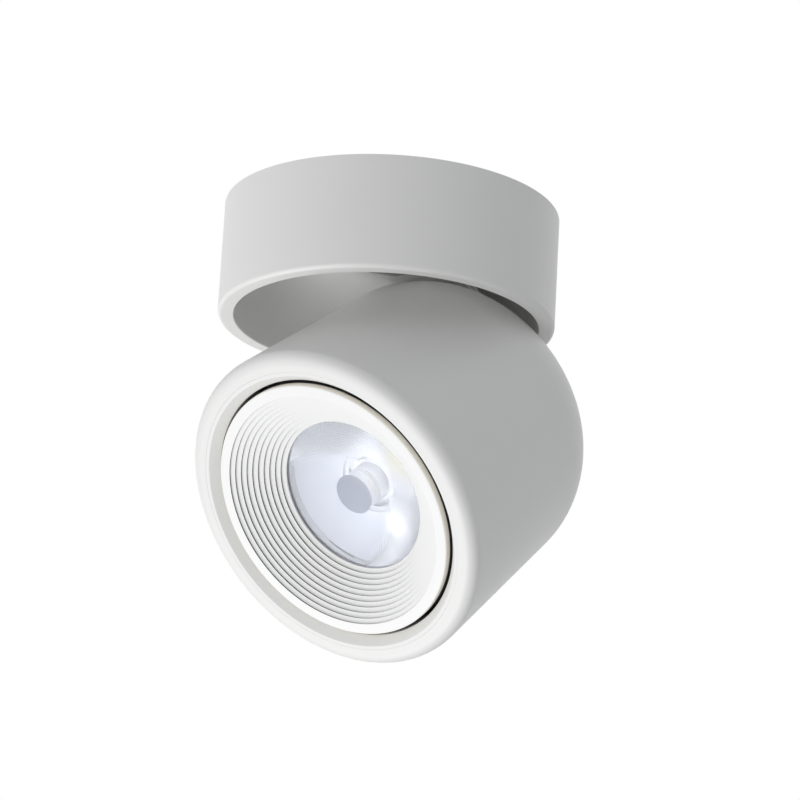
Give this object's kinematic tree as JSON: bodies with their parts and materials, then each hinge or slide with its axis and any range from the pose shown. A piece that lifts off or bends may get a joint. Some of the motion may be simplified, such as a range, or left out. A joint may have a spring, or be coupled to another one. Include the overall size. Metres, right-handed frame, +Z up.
{
  "type": "ceiling spotlight",
  "caption": "Surface mounted ceiling spotlight with a round cup base and a drum-shaped tilting head with a domed back, stepped baffle and recessed lens.",
  "frame": {"origin": "middle of the ceiling face, on top of the mounting plate", "axes": "+Z up towards the ceiling; the head aims along -Y and down at rest; X is the tilt axis"},
  "size_m": [0.1, 0.114, 0.1343],
  "materials": {
    "white_paint": "satin",
    "white_plastic": "matte",
    "zinc_steel": "brushed",
    "brass": "satin",
    "natural_nylon": "matte",
    "clear_acrylic": "polished",
    "silicone": "matte",
    "black_rubber": "matte",
    "aluminium": "satin",
    "ceramic": "satin",
    "phosphor": "matte",
    "thermal_silicone": "matte",
    "board_green": "satin",
    "black_plastic": "matte",
    "capacitor_sleeve": "gloss",
    "film_red": "gloss"
  },
  "bodies": {
    "root": {"base_cup": "white_paint", "mounting_plate": "zinc_steel", "cable_grommet": "black_rubber", "terminal_block": "white_plastic", "terminal_inserts": "brass", "terminal_screws": "zinc_steel", "earth_screw": "brass", "stop_pin": "zinc_steel"},
    "swivel": {"swivel_bracket": "zinc_steel", "swivel_bolt": "zinc_steel", "swivel_friction_washer": "natural_nylon", "swivel_slide_washer": "natural_nylon", "stop_washer": "zinc_steel", "swivel_spring_washer": "zinc_steel", "swivel_nut": "zinc_steel", "saddle_pad": "natural_nylon", "tilt_stem": "zinc_steel", "clamp_shoe": "natural_nylon", "tilt_spring_washer": "zinc_steel", "tilt_nut": "zinc_steel"},
    "head": {"head_shell": "white_paint", "front_bezel": "white_paint", "baffle_trim": "white_plastic", "lens": "clear_acrylic", "lens_gasket": "silicone", "lens_holder": "black_plastic", "cob_board": "ceramic", "cob_phosphor": "phosphor", "thermal_pad": "thermal_silicone", "cob_retainer": "white_plastic", "cob_screws": "zinc_steel", "heat_sink": "aluminium", "heat_sink_screws": "zinc_steel", "driver_standoffs": "brass", "driver_tray": "white_plastic", "driver_screws": "zinc_steel", "driver_board": "board_green", "board_screws": "zinc_steel", "driver_transformer": "black_plastic", "driver_capacitors": "capacitor_sleeve", "driver_film_capacitor": "film_red", "driver_connector": "white_plastic", "driver_cover": "white_plastic", "cover_grommet": "black_rubber"}
  },
  "joints": [
    {"name": "pan", "type": "hinge", "parent": "root", "child": "swivel", "pos_m": [0, 0, -0.0137], "axis": [0, 0, 1], "range_deg": [-170, 170]},
    {"name": "tilt", "type": "hinge", "parent": "swivel", "child": "head", "pos_m": [0, 0, -0.08189], "axis": [-1, 0, 0], "range_deg": [-50, 5]}
  ]
}
